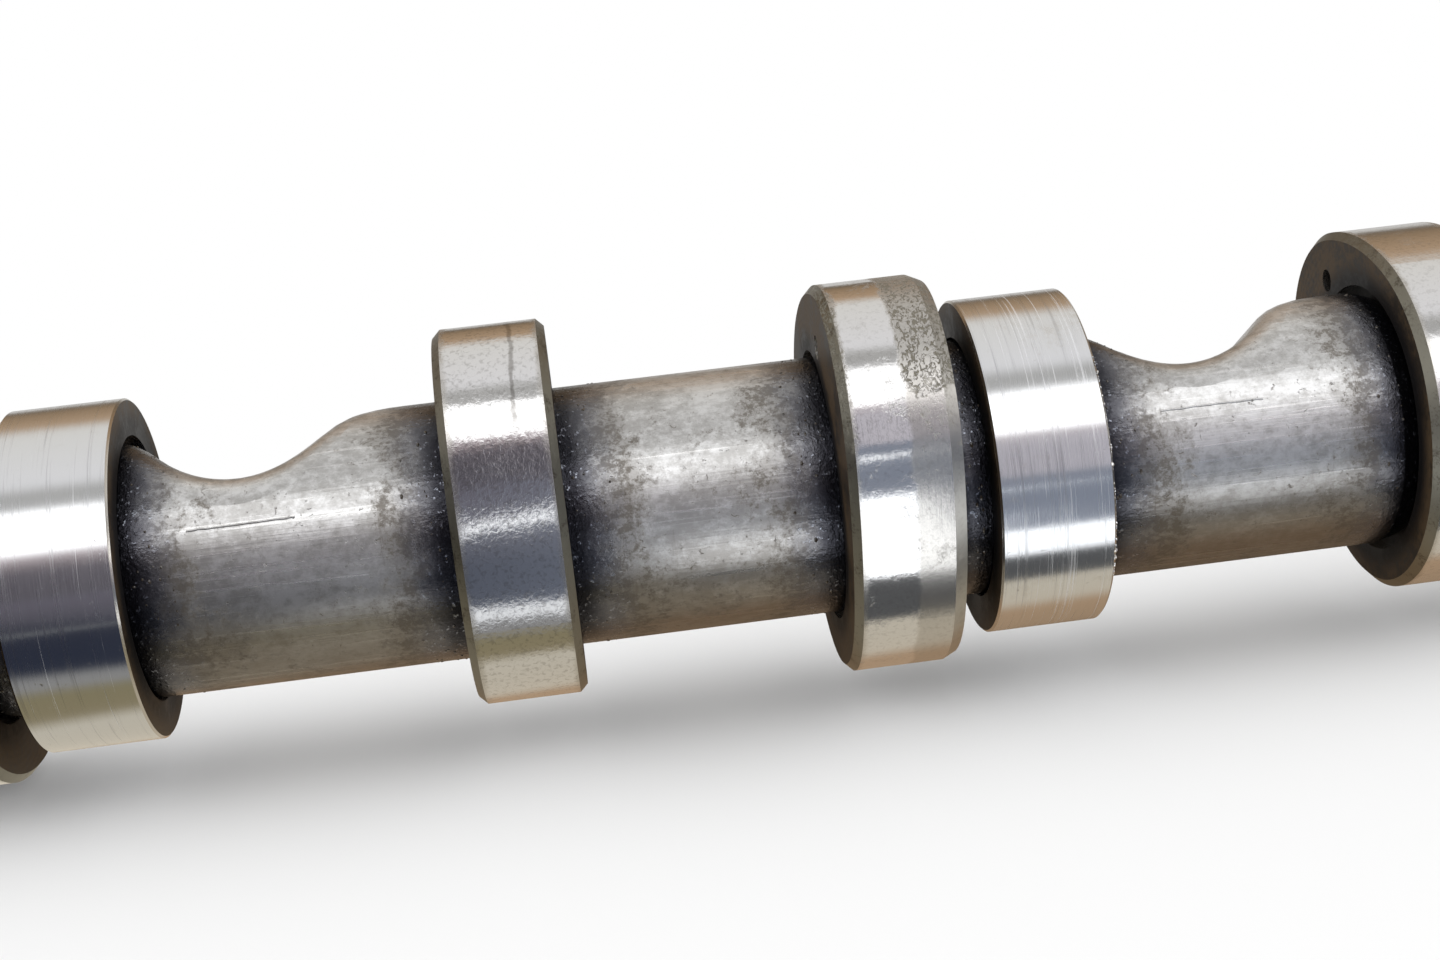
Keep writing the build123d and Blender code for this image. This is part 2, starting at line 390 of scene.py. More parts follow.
# ring with a ground running surface: lines round it, a few deep scores, faint tarnish
def journalSteel(node, shift):
    look = journalLook
    scores, tarnish = journalWear.get(node, journalWear["usual"])
    material, g, shader = newMaterial("steel_" + node)
    at = g.group(shaftPlace)
    fine = lineMarks(g, at, look["fineLines"], look["fineAmount"], shift)
    deep = lineMarks(g, at, look["scoreLines"], scores, shift + 3)
    point = g.stretch(at["Point"], shift=shift)
    spots = g.group(pits, Vector=point, Scale=look["spotScale"], Cover=look["spotCover"])["Mask"]
    patina = stainMarks(g, at, look["tarnishScale"], tarnish, shift)
    side = g.fade(at["Facing"], *look["sideFrom"])
    edge = g.fade(at["Facing"], *look["edgeFrom"])
    shade = g.mix(g.both(fine["Mask"], look["wornShare"]), look["steel"], look["worn"])
    shade = g.mix(g.both(patina, look["tarnishShare"]), shade, look["tarnish"])
    shade = g.mix(g.both(deep["Mask"], look["scoreShare"]), shade, look["score"])
    shade = g.mix(g.both(spots, look["spotShare"]), shade, look["spot"])
    shade = g.mix(g.both(edge, look["edgeShare"]), shade, look["tarnish"])
    sideShade, sideRough, sideHeight = sideFace(g, at, shift)
    shade = g.mix(side, shade, sideShade)
    rough = g.plus(look["rough"], g.both(fine["Mask"], look["lineRough"]))
    rough = g.plus(rough, g.both(deep["Mask"], look["scoreRough"]))
    rough = g.plus(rough, g.both(patina, look["tarnishRough"]))
    rough = g.blend(side, rough, sideRough)
    metal = g.less(1.0, g.both(deep["Mask"], look["scoreGlint"]))
    metal = g.blend(side, metal, sideLook["metal"])
    height = g.both(fine["Height"], look["lineHeight"])
    height = g.plus(height, g.both(deep["Height"], look["scoreHeight"]))
    height = g.less(height, g.both(spots, look["spotDepth"]))
    height = g.blend(side, height, sideHeight)
    finishMaterial(g, shader, shade, metal, rough, height, look["relief"])
    roundGrain(g, shader, look["grain"])
    shader.inputs["Specular IOR Level"].default_value = sideLook["specular"]
    return material


lobeLook = {
    "polished": (0.66, 0.65, 0.64, 1),
    "satin": (0.52, 0.50, 0.47, 1),
    "speck": (0.085, 0.072, 0.055, 1),
    "speckFrom": (0.5, 0.66),
    "speckShare": 0.3,
    "pit": (0.15, 0.135, 0.10, 1),
    "pitStretch": (1.0, 0.7, 0.7),
    "pitScale": 2500.0,
    "pitCover": 1.05,
    "pitShare": 0.9,
    "pitTint": 0.15,
    "pitDull": 0.65,
    "pitCore": 0.7,
    "patchNoise": (260.0, 4.0, 0.7),
    "patchFrom": (0.55, 0.75),
    "patchTurn": 90.0,
    "patchShare": 0.4,
    "seamShare": 0.5,
    "seamWidth": (0.03, 0.008),
    "seamStart": (-62, -50),
    "seamEnd": (70, 50),
    "chamfer": (0.20, 0.19, 0.155, 1),
    "chamferFilm": (0.09, 0.08, 0.062, 1),
    "chamferScale": 500.0,
    "chamferCover": 0.5,
    "trackRough": 0.12,
    "satinRough": 0.25,
    "pebbleRough": 0.2,
    "pitRough": 0.15,
    "chamferRough": 0.42,
    "trackStretch": (300, 300, 300),
    "trackWander": 0.14,
    "trackSoft": 0.03,
    "grindLines": (9000, 110, 110),
    "streakLines": (2600, 700, 700),
    "lineAmount": 0.5,
    "pebbleNoise": (2300.0, 4.0, 0.55, 0.6),
    "pebbleMiddle": 0.45,
    "pebbleHeight": 0.6,
    "swellNoise": (420.0, 2.0),
    "swellHeight": 0.7,
    "streakHeight": 0.5,
    "grindHeight": 0.25,
    "pitDepth": 1.2,
    "relief": 0.03 * mm,
    "sideFrom": (0.88, 0.96),
    "chamferFrom": (0.3, 0.6),
}

# track: where the running track starts and ends across the lobe; pitTurn: degrees from the top
lobeWear = {
    "usual": {
        "track": (0.1, 0.9), "pebble": 0.6, "seam": 0.0,
        "pitTurn": 0.0, "pitSpread": 40.0, "pitting": 0.15,
    },
    "lobe_3_front": {"pebble": 0.9, "pitting": 0.25, "seam": 0.68},
    "lobe_3_rear": {
        "track": (0.1, 0.56), "pebble": 0.4,
        "pitTurn": -14.0, "pitSpread": 56.0, "pitting": 1.0,
    },
    "lobe_4_front": {"pebble": 0.5, "pitting": 0.3, "pitTurn": -20.0},
}


# how far across the lobe a point lies, from 0 at its front side to 1, wandering a little
def acrossLobe(g, at, node, shift):
    low, high = spanAlong(node)
    across = g.math("DIVIDE", g.less(at["Along"], low), high - low)
    wander = g.noise(g.stretch(at["Point"], lobeLook["trackStretch"], shift), 1.0)
    return g.plus(across, g.both(g.less(wander, 0.5), lobeLook["trackWander"]))


# the pitted zone: round one line of the upper side, off the track, with patches elsewhere
def pittedZone(g, at, wear, track, shift):
    look = lobeLook
    patch = g.noise(g.stretch(at["Point"], shift=shift + 7), *look["patchNoise"])
    turned = g.math("ABSOLUTE", g.less(at["Turn"], wear["pitTurn"]))
    turned = g.plus(turned, g.both(g.less(patch, 0.5), look["patchTurn"]))
    zone = g.fade(turned, wear["pitSpread"], wear["pitSpread"] * look["pitCore"])
    zone = g.both(g.both(zone, g.less(1.0, track)), wear["pitting"])
    patches = g.fade(patch, *look["patchFrom"])
    patches = g.both(patches, wear["pitting"] * look["patchShare"])
    return g.math("ADD", zone, patches, clamp=True)


# a fine dark seam along one line of the lobe, over its upper half
def darkSeam(g, at, crossed, place):
    look = lobeLook
    seam = g.fade(g.math("ABSOLUTE", g.less(crossed, place)), *look["seamWidth"])
    seam = g.both(seam, g.fade(at["Turn"], *look["seamStart"]))
    return g.both(seam, g.fade(at["Turn"], *look["seamEnd"]))


# cam lobe: a bright running track, satin beside it, pebbled wear, and pits on the upper side
def lobeSteel(node, shift):
    look = lobeLook
    wear = dict(lobeWear["usual"], **lobeWear.get(node, {}))
    material, g, shader = newMaterial("steel_" + node)
    at = g.group(shaftPlace)
    crossed = acrossLobe(g, at, node, shift)
    (start, end), soft = wear["track"], look["trackSoft"]
    track = g.fade(crossed, start - soft, start + soft)
    track = g.both(track, g.fade(crossed, end + soft, end - soft))
    grind = lineMarks(g, at, look["grindLines"], look["lineAmount"], shift)
    streaks = lineMarks(g, at, look["streakLines"], look["lineAmount"], shift + 5)
    pebble = g.noise(g.stretch(at["Point"], shift=shift), *look["pebbleNoise"])
    swell = g.noise(g.stretch(at["Point"], shift=shift + 2), *look["swellNoise"])
    zone = pittedZone(g, at, wear, track, shift)
    point = g.stretch(at["Point"], look["pitStretch"], shift)
    speckle = g.group(pits, Vector=point, Scale=look["pitScale"], Cover=look["pitCover"])
    pitted = g.both(zone, speckle["Mask"])
    side = g.fade(at["Facing"], *look["sideFrom"])
    chamfer = g.both(g.fade(at["Facing"], *look["chamferFrom"]), g.less(1.0, side))
    specks = g.both(g.fade(pebble, *look["speckFrom"]), look["speckShare"] * wear["pebble"])
    shade = g.mix(track, look["satin"], look["polished"])
    shade = g.mix(specks, shade, look["speck"])
    shade = g.mix(g.both(zone, look["pitTint"]), shade, look["pit"])
    shade = g.mix(g.both(pitted, look["pitShare"]), shade, look["pit"])
    if wear["seam"]:
        seam = darkSeam(g, at, crossed, wear["seam"])
        shade = g.mix(g.both(seam, look["seamShare"]), shade, look["speck"])
    grime = stainMarks(g, at, look["chamferScale"], look["chamferCover"])
    chamferShade = g.mix(grime, look["chamfer"], look["chamferFilm"])
    shade = g.mix(chamfer, shade, chamferShade)
    sideShade, sideRough, sideHeight = sideFace(g, at, shift)
    shade = g.mix(side, shade, sideShade)
    rough = g.blend(track, look["satinRough"], look["trackRough"])
    uneven = g.less(pebble, look["pebbleMiddle"])
    rough = g.plus(rough, g.both(uneven, look["pebbleRough"] * wear["pebble"]))
    rough = g.plus(rough, g.both(zone, look["pitRough"]))
    rough = g.blend(chamfer, rough, look["chamferRough"])
    rough = g.blend(side, rough, sideRough)
    height = g.both(pebble, look["pebbleHeight"] * wear["pebble"])
    height = g.plus(height, g.both(swell, look["swellHeight"] * wear["pebble"]))
    height = g.plus(height, g.both(streaks["Height"], look["streakHeight"]))
    height = g.plus(height, g.both(grind["Height"], look["grindHeight"]))
    height = g.less(height, g.both(pitted, look["pitDepth"]))
    height = g.blend(side, height, sideHeight)
    metal = g.blend(side, g.less(1.0, g.both(pitted, look["pitDull"])), sideLook["metal"])
    finishMaterial(g, shader, shade, metal, rough, height, look["relief"])
    shader.inputs["Specular IOR Level"].default_value = sideLook["specular"]
    return material


tubeLook = {
    "steel": (0.60, 0.595, 0.585, 1),
    "grey": (0.37, 0.36, 0.345, 1),
    "brown": (0.07, 0.052, 0.03, 1),
    # under: dark brown for the brushed streaks, and the colour of the painted shade on the
    # underside
    "under": (0.13, 0.105, 0.075, 1),
    "oil": (0.11, 0.112, 0.13, 1),
    "wet": (0.012, 0.012, 0.016, 1),
    "glint": (0.36, 0.38, 0.43, 1),
    "scratch": (0.72, 0.71, 0.69, 1),
    "grainStretch": (0.8, 1, 1),
    "grainNoise": (900.0, 6.0, 0.78),
    "cloudStretch": (0.6, 1, 1),
    "cloudNoise": (130.0, 4.0, 0.6),
    "mottleShares": (0.6, 0.4),
    "mottleFrom": (0.40, 0.60),
    "drawnLines": (60, 3600, 3600),
    "drawnAmount": 0.7,
    "drawnShare": 0.5,
    "nickLines": (420, 900, 2600),
    "nickAmount": 0.1,
    "nickShare": 0.8,
    "brushLines": (2600, 160, 160),
    "brushAmount": 0.45,
    "brushShare": (0.12, 0.5),
    "bloomScale": 150.0,
    "bloomCover": (0.36, 1.6),
    "bloomSoftness": 0.14,
    "bloomShare": 0.8,
    "bloomGrain": (0.42, 0.54, 0.2, 1.0),
    "speckScale": 1500.0,
    "speckCover": 0.42,
    "speckShare": 0.6,
    # painted shade on the underside: turns from the top where it starts and is full, how much it
    # darkens, and how much more brown bloom it adds
    "paintedUnderShadeTurn": (80.0, 138.0),
    "paintedUnderShadeShare": 0.8,
    "paintedUnderShadeBloom": 0.25,
    "brownReach": 11.0 * mm,
    "raggedStretch": (1.6, 0.8, 0.8),
    "raggedNoise": (420.0, 5.0, 0.75),
    "oilReach": (1.4 * mm, 6.5 * mm),
    "oilRagged": 4.5 * mm,
    "oilShare": 0.85,
    "wetReach": (0.6 * mm, 3.4 * mm),
    "wetRagged": 2.0 * mm,
    "wetShare": 0.93,
    "beadNoise": (2300.0, 3.0, 0.6),
    "glintFrom": (0.60, 0.70),
    "glintShare": 0.6,
    "rough": 0.33,
    "bloomRough": 0.1,
    "drawnGloss": 0.08,
    "oilRough": 0.22,
    "glintRough": 0.14,
    "drawnHeight": 1.1,
    "brushHeight": 0.5,
    "speckHeight": 0.6,
    "beadHeight": 2.2,
    "relief": 0.03 * mm,
    "metal": 0.85,
    "bloomDull": 0.35,
    "oilMetal": 0.9,
}


# drawn tube: grey mottling and rust-brown blooms, thickest beside the pressed-on pieces,
# where old oil blackens it, and a painted shade that darkens its underside
def tubeSteel():
    look = tubeLook
    material, g, shader = newMaterial("steel_shaft_tube")
    at = g.group(shaftPlace)
    gap = g.group(besidePressedOn, Along=at["Along"])["Gap"]
    drawn = lineMarks(g, at, look["drawnLines"], look["drawnAmount"])
    nicks = lineMarks(g, at, look["nickLines"], look["nickAmount"], shift=4)
    brushed = lineMarks(g, at, look["brushLines"], look["brushAmount"], shift=2)
    close = g.fade(gap, look["brownReach"], 0.0)
    ragged = g.noise(g.stretch(at["Point"], look["raggedStretch"]), *look["raggedNoise"])
    ragged = g.less(ragged, 0.5)
    oily = g.plus(gap, g.both(ragged, look["oilRagged"]))
    oily = g.fade(oily, *look["oilReach"], start=1.0, end=0.0)
    wet = g.plus(gap, g.both(ragged, look["wetRagged"]))
    wet = g.fade(wet, *look["wetReach"], start=1.0, end=0.0)
    grain = g.noise(g.stretch(at["Point"], look["grainStretch"]), *look["grainNoise"])
    cloud = g.noise(g.stretch(at["Point"], look["cloudStretch"], 3), *look["cloudNoise"])
    ofGrain, ofCloud = look["mottleShares"]
    mottle = g.plus(g.both(grain, ofGrain), g.both(cloud, ofCloud))
    mottle = g.fade(mottle, *look["mottleFrom"])
    # painted shade: darker towards the underside of the tube, in colour and in more brown bloom
    under = g.fade(g.math("ABSOLUTE", at["Turn"]), *look["paintedUnderShadeTurn"])
    cover = g.plus(g.blend(close, *look["bloomCover"]), g.both(under, look["paintedUnderShadeBloom"]))
    soft = look["bloomSoftness"]
    bloom = stainMarks(g, at, look["bloomScale"], cover, shift=9, Softness=soft)
    bloom = g.both(bloom, g.fade(grain, *look["bloomGrain"]))
    specks = g.group(pits, Vector=at["Point"], Scale=look["speckScale"], Cover=look["speckCover"])
    beads = g.noise(at["Point"], *look["beadNoise"])
    glint = g.both(g.fade(beads, *look["glintFrom"]), oily)
    brushShare = g.blend(close, *look["brushShare"])
    shade = g.mix(mottle, look["grey"], look["steel"])
    shade = g.mix(g.both(drawn["Mask"], look["drawnShare"]), shade, look["scratch"])
    shade = g.mix(g.both(brushed["Mask"], brushShare), shade, look["under"])
    # the painted shade along the underside
    shade = g.mix(g.both(under, look["paintedUnderShadeShare"]), shade, look["under"])
    shade = g.mix(g.both(bloom, look["bloomShare"]), shade, look["brown"])
    shade = g.mix(g.both(specks["Mask"], look["speckShare"]), shade, look["brown"])
    shade = g.mix(g.both(nicks["Mask"], look["nickShare"]), shade, look["scratch"])
    shade = g.mix(g.both(oily, look["oilShare"]), shade, look["oil"])
    shade = g.mix(g.both(wet, look["wetShare"]), shade, look["wet"])
    shade = g.mix(g.both(glint, look["glintShare"]), shade, look["glint"])
    rough = g.plus(look["rough"], g.both(bloom, look["bloomRough"]))
    rough = g.less(rough, g.both(drawn["Mask"], look["drawnGloss"]))
    rough = g.blend(oily, rough, look["oilRough"])
    rough = g.blend(glint, rough, look["glintRough"])
    height = g.both(drawn["Height"], look["drawnHeight"])
    height = g.plus(height, g.both(brushed["Height"], look["brushHeight"]))
    height = g.plus(height, g.both(specks["Height"], look["speckHeight"]))
    height = g.plus(height, g.both(beads, g.both(oily, look["beadHeight"])))
    metal = g.less(look["metal"], g.both(bloom, look["bloomDull"]))
    metal = g.blend(oily, metal, look["oilMetal"])
    finishMaterial(g, shader, shade, metal, rough, height, look["relief"])
    return material


turnedLook = {
    "steel": (0.50, 0.49, 0.47, 1),
    "brown": (0.20, 0.15, 0.10, 1),
    "bloomScale": 150.0,
    "bloomCover": 0.5,
    "bloomShare": 0.6,
    "speckScale": 1600.0,
    "speckCover": 0.25,
    "speckShare": 0.6,
    "latheLines": (7000, 90, 90),
    "latheAmount": 0.6,
    "latheHeight": 0.7,
    "facePitch": 7000.0,
    "faceHeight": 0.12,
    "rough": 0.3,
    "bloomRough": 0.12,
    "bloomDull": 0.3,
    "relief": 0.03 * mm,
    "sideFrom": (0.8, 0.95),
}


# turned ends, wheel and dowel: even lathe lines and a light oily tan
def turnedSteel(node, shift):
    look = turnedLook
    material, g, shader = newMaterial("steel_" + node)
    at = g.group(shaftPlace)
    lathe = lineMarks(g, at, look["latheLines"], look["latheAmount"], shift)
    face = g.math("SINE", g.both(at["Radius"], look["facePitch"]))
    bloom = stainMarks(g, at, look["bloomScale"], look["bloomCover"], shift)
    specks = g.group(pits, Vector=at["Point"], Scale=look["speckScale"], Cover=look["speckCover"])
    side = g.fade(at["Facing"], *look["sideFrom"])
    shade = g.mix(g.both(bloom, look["bloomShare"]), look["steel"], look["brown"])
    shade = g.mix(g.both(specks["Mask"], look["speckShare"]), shade, look["brown"])
    rough = g.plus(look["rough"], g.both(bloom, look["bloomRough"]))
    metal = g.less(1.0, g.both(bloom, look["bloomDull"]))
    height = g.both(lathe["Height"], look["latheHeight"])
    height = g.blend(side, height, g.both(face, look["faceHeight"]))
    finishMaterial(g, shader, shade, metal, rough, height, look["relief"])
    return material


def dress(node, material):
    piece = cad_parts[node]
    piece.data.materials.clear()
    piece.data.materials.append(material)
    for face in piece.data.polygons:
        face.material_index = 0


shiftStep = 0.37  # moves each piece's patterns on, so that no two pieces look alike
for order, node in enumerate(nodes):
    shift = order * shiftStep
    if "journal" in node:
        dress(node, journalSteel(node, shift))
    elif node.startswith("lobe"):
        dress(node, lobeSteel(node, shift))
    elif node == "shaft_tube":
        dress(node, tubeSteel())
    else:
        dress(node, turnedSteel(node, shift))
print("materials on")


# a tree of Geometry Nodes with named inputs, run once and kept as a plain mesh
class ShapeTree(Graph):
    def __init__(self, name, inputs):
        tree = bpy.data.node_groups.new(name, "GeometryNodeTree")
        tree.interface.new_socket("Start Points", in_out="INPUT", socket_type=geometry)
        for label, kind in inputs:
            tree.interface.new_socket(label, in_out="INPUT", socket_type=kind)
        tree.interface.new_socket("Geometry", in_out="OUTPUT", socket_type=geometry)
        super().__init__(tree)
        self.given = self.add("NodeGroupInput").outputs
        self.result = self.add("NodeGroupOutput").inputs

    def make(self, kind, values, result=0, **settings):
        node = self.add(kind, **settings)
        for place, value in values.items():
            self.feed(node.inputs[place], value)
        return node.outputs[result]

    def random(self, low, high, seed):
        values = {2: low, 3: high, 8: seed}
        return self.make("FunctionNodeRandomValue", values, 1, data_type="FLOAT")

    # a random size between two: a higher power makes the small ones more common
    def spread(self, small, large, power, seed):
        return self.blend(self.math("POWER", self.random(0.0, 1.0, seed), power), small, large)

    def point(self, x, y, z):
        return self.make("ShaderNodeCombineXYZ", {0: x, 1: y, 2: z})

    # a point on the round of the shaft: along it, out from the axis, and turned from the top
    def onShaft(self, along, radius, turn):
        angle = self.math("RADIANS", turn)
        sideways = self.both(radius, self.math("SINE", angle))
        return self.point(along, sideways, self.both(radius, self.math("COSINE", angle)))

    def copies(self, count):
        values = {0: self.given["Start Points"], "Amount": count}
        return self.make("GeometryNodeDuplicateElements", values, domain="POINT")

    def move(self, points, place):
        return self.make("GeometryNodeSetPosition", {"Geometry": points, "Position": place})

    # the nearest place on the tube's surface
    def onTube(self, place):
        tube = self.make("GeometryNodeObjectInfo", {"Object": self.given["Tube"]}, "Geometry")
        return self.make("GeometryNodeProximity", {0: tube, "Sample Position": place})

    def sweep(self, path, radius, sides):
        values = {"Resolution": sides, "Radius": radius}
        profile = self.make("GeometryNodeCurvePrimitiveCircle", values, mode="RADIUS")
        values = {"Curve": path, "Profile Curve": profile, "Fill Caps": True}
        return self.make("GeometryNodeCurveToMesh", values)

    def scatter(self, points, turn, scale):
        ball = self.make("GeometryNodeMeshIcoSphere", {"Radius": 1.0, "Subdivisions": 1})
        values = {"Points": points, "Instance": ball, "Rotation": turn, "Scale": scale}
        return self.make("GeometryNodeInstanceOnPoints", values)

    def close(self, made, material):
        whole = self.make("GeometryNodeRealizeInstances", {0: made})
        done = self.add("GeometryNodeSetMaterial")
        self.feed(done.inputs["Geometry"], whole)
        done.inputs["Material"].default_value = material
        self.feed(self.result[0], done.outputs[0])

    def build(self, name, slot, points=(), **values):
        base = bpy.data.meshes.new(name)
        base.from_pydata(points, [], [])
        piece = bpy.data.objects.new(name, base)
        scene.collection.objects.link(piece)
        step = piece.modifiers.new("shape", "NODES")
        step.node_group = self.tree
        for item in self.tree.interface.items_tree:
            if item.in_out == "INPUT" and item.name in values:
                step[item.identifier] = values[item.name]
        bpy.context.view_layer.update()
        settled = piece.evaluated_get(bpy.context.evaluated_depsgraph_get())
        made = bpy.data.meshes.new_from_object(settled)
        piece.modifiers.clear()
        piece.data = made
        made.name = name
        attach(piece, "root")
        return piece


def lookInputs(look):
    return [(label, wholeNumber if label == "Count" else number) for label in look]


threadLook = {
    "Radius": 6.05 * mm,
    "Pitch": 1.75 * mm,
    "Length": 20.0 * mm,
    "Start": -8.4 * mm,
    "Crest": 0.8 * mm,
}


# screw thread in the drive end's centre bore: a four-sided profile swept along a helix,
# half of it in the wall
def threadTree(material):
    t = ShapeTree("threadTurns", lookInputs(threadLook))
    given = t.given
    helix = t.make("GeometryNodeCurveSpiral", {
        "Resolution": 40,
        "Rotations": t.math("DIVIDE", given["Length"], given["Pitch"]),
        "Start Radius": given["Radius"],
        "End Radius": given["Radius"],
        "Height": given["Length"],
    })
    helix = t.make("GeometryNodeSetCurveNormal", {0: helix}, mode="Z_UP")
    laid = t.make("GeometryNodeTransform", {
        "Geometry": t.sweep(helix, given["Crest"], sides=4),
        "Translation": t.point(given["Start"], 0.0, 0.0),
        "Rotation": (0, math.pi / 2, 0),
    })
    t.close(laid, material)
    return t


dieLook = {
    "Turn": -65.5,
    "Radius": 13.2 * mm,
    "Start": 11.5 * mm,
    "Length": 9.9 * mm,
    "Thickness": 0.11 * mm,
    "Waver": 0.25 * mm,
}


# crease that the press leaves along the foot of each scoop: a fine cord laid on the tube
def dieTree(material):
    t = ShapeTree("dieCrease", [("Tube", thing), ("Along", number)] + lookInputs(dieLook))
    given = t.given
    start = t.plus(given["Along"], given["Start"])
    first = t.onShaft(start, given["Radius"], given["Turn"])
    last = t.onShaft(t.plus(start, given["Length"]), given["Radius"], given["Turn"])
    line = t.make("GeometryNodeCurvePrimitiveLine", {"Start": first, "End": last}, mode="POINTS")
    line = t.make("GeometryNodeResampleCurve", {"Curve": line, "Count": 40}, mode="COUNT")
    place = t.make("GeometryNodeInputPosition", {})
    waver = t.less(t.noise(place, scale=900.0, detail=3.0), 0.5)
    waver = t.both(waver, given["Waver"])
    ragged = {0: place, 1: t.point(0.0, waver, waver)}
    ragged = t.make("ShaderNodeVectorMath", ragged, operation="ADD")
    laid = t.move(line, t.onTube(ragged))
    along = t.make("GeometryNodeSplineParameter", {}, "Factor")
    taper = t.math("SQRT", t.math("SINE", t.both(along, math.pi)))
    laid = t.make("GeometryNodeSetCurveRadius", {"Curve": laid, "Radius": taper})
    t.close(t.sweep(laid, given["Thickness"], sides=6), material)
    return t


beadLook = {
    "Count": 130,
    "Radius": 12.9 * mm,
    "Nearest": 0.9 * mm,
    "Farthest": 4.4 * mm,
    "Crowding": 1.6,
    "Smallest": 0.05 * mm,
    "Largest": 0.19 * mm,
    "Rarity": 3.0,
    "Shortest": 0.7,
    "Longest": 1.8,
    "Flatness": 0.55,
}


# beads of old oil on the tube: each start point holds an edge's place and the way that
# the beads spread from it
def beadTree(material):
    t = ShapeTree("oilBeads", [("Tube", thing)] + lookInputs(beadLook))
    given = t.given
    place = t.make("GeometryNodeInputPosition", {})
    edge, way, _ = t.split(place)
    gap = t.spread(given["Nearest"], given["Farthest"], given["Crowding"], seed=1)
    along = t.plus(edge, t.both(gap, way))
    start = t.onShaft(along, given["Radius"], t.random(-180.0, 180.0, seed=2))
    spots = t.move(t.copies(given["Count"]), start)
    spots = t.move(spots, t.onTube(place))
    outward = {"Vector": t.point(0.0, *t.split(place)[1:])}
    turn = t.make("FunctionNodeAlignRotationToVector", outward, axis="Z")
    size = t.spread(given["Smallest"], given["Largest"], given["Rarity"], seed=3)
    length = t.both(size, t.random(given["Shortest"], given["Longest"], seed=4))
    scale = t.point(size, length, t.both(size, given["Flatness"]))
    t.close(t.scatter(spots, turn, scale), material)
    return t


burrLook = {
    "Count": 70,
    "Radius": 16.42 * mm,
    "First": -125.0,
    "Last": -45.0,
    "Smallest": 0.06 * mm,
    "Largest": 0.22 * mm,
    "Rarity": 2.0,
    "Width": 0.7,
    "Height": 1.3,
}
burrInset = 0.08 * mm


# torn burrs along a stretch of a journal's edge
def burrTree(material):
    t = ShapeTree("edgeBurrs", lookInputs(burrLook))
    given = t.given
    along = t.split(t.make("GeometryNodeInputPosition", {}))[0]
    turn = t.blend(t.random(0.0, 1.0, seed=1), given["First"], given["Last"])
    laid = t.move(t.copies(given["Count"]), t.onShaft(along, given["Radius"], turn))
    size = t.spread(given["Smallest"], given["Largest"], given["Rarity"], seed=2)
    spin, tilt = 3.1, 0.6  # radians either way
    lean = [t.random(-most, most, seed) for most, seed in ((spin, 3), (tilt, 4), (tilt, 5))]
    scale = t.point(t.both(size, given["Width"]), size, t.both(size, given["Height"]))
    t.close(t.scatter(laid, t.point(*lean), scale), material)
    return t


filmLook = {
    "oil": (0.02, 0.017, 0.014, 1),
    "thin": (0.06, 0.045, 0.03, 1),
    "cloudNoise": (700.0, 3.0),
    "rough": 0.12,
    "cloudRough": 0.12,
    "coat": 0.5,
    "coatRough": 0.08,
    "relief": 0.01 * mm,
}


def oilFilm():
    look = filmLook
    material, g, shader = newMaterial("oil_film")
    at = g.group(shaftPlace)
    cloud = g.noise(at["Point"], *look["cloudNoise"])
    shade = g.mix(cloud, look["oil"], look["thin"])
    rough = g.plus(look["rough"], g.both(cloud, look["cloudRough"]))
    shader.inputs["Coat Weight"].default_value = look["coat"]
    shader.inputs["Coat Roughness"].default_value = look["coatRough"]
    finishMaterial(g, shader, shade, 0.0, rough, cloud, look["relief"])
    return material


def finishOf(node):
    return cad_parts[node].data.materials[0]


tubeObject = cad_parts["shaft_tube"]

threadTree(finishOf("drive_end")).build("thread_turns", "turned_steel", **threadLook)

creases = dieTree(finishOf("shaft_tube"))
for ring in ("front_journal", "journal_1", "journal_2", "journal_3"):
    middle = sum(spanAlong(ring)) / 2
    creases.build("die_crease_" + ring, "tube_steel", Tube=tubeObject, Along=middle, **dieLook)
print("thread and creases made")

starts = []
for name in pressedOn:
    low, high = spanAlong(name)
    starts += [(low, -1.0, 0.0), (high, 1.0, 0.0)]
beadTree(oilFilm()).build("oil_beads", "tube_steel", starts, Tube=tubeObject, **beadLook)

torn = [(spanAlong("journal_3")[1] - burrInset, 0.0, 0.0)]
burrTree(finishOf("journal_3")).build("edge_burrs", "ground_steel", torn, **burrLook)
print("oil beads and burrs made")

cameraLook = {
    "lens": 54.09,
    "sensor": 36.0,
    "distance": 212.4 * mm,
    "along": 252.87 * mm,
    "elevation": 11.0,
    "yaw": 3.898,
    "pitch": 0.445,
    "roll": -7.053,
    "nearest": 0.01,
    "farthest": 50,
}


def makeCamera(look):
    data = bpy.data.cameras.new("camera")
    data.lens = look["lens"]
    data.sensor_width = look["sensor"]
    data.sensor_fit = "HORIZONTAL"
    data.clip_start = look["nearest"]
    data.clip_end = look["farthest"]
    camera = bpy.data.objects.new("camera", data)
    scene.collection.objects.link(camera)
    angles = ("elevation", "yaw", "pitch", "roll")
    lift, yaw, pitch, roll = (math.radians(look[angle]) for angle in angles)
    across = Vector((1, 0, 0))
    away = Vector((0, math.cos(lift), -math.sin(lift)))
    upward = Vector((0, math.sin(lift), math.cos(lift)))
    level = across * math.sin(yaw) + away * math.cos(yaw)
    ahead = level * math.cos(pitch) + upward * math.sin(pitch)
    right = across * math.cos(yaw) - away * math.sin(yaw)
    up = right.cross(ahead)
    rolledRight = right * math.cos(roll) + up * math.sin(roll)
    rolledUp = up * math.cos(roll) - right * math.sin(roll)
    turn = Matrix((rolledRight, rolledUp, -ahead)).transposed().to_4x4()
    place = across * look["along"] - away * look["distance"]
    camera.matrix_world = Matrix.Translation(place) @ turn
    scene.camera = camera


makeCamera(cameraLook)

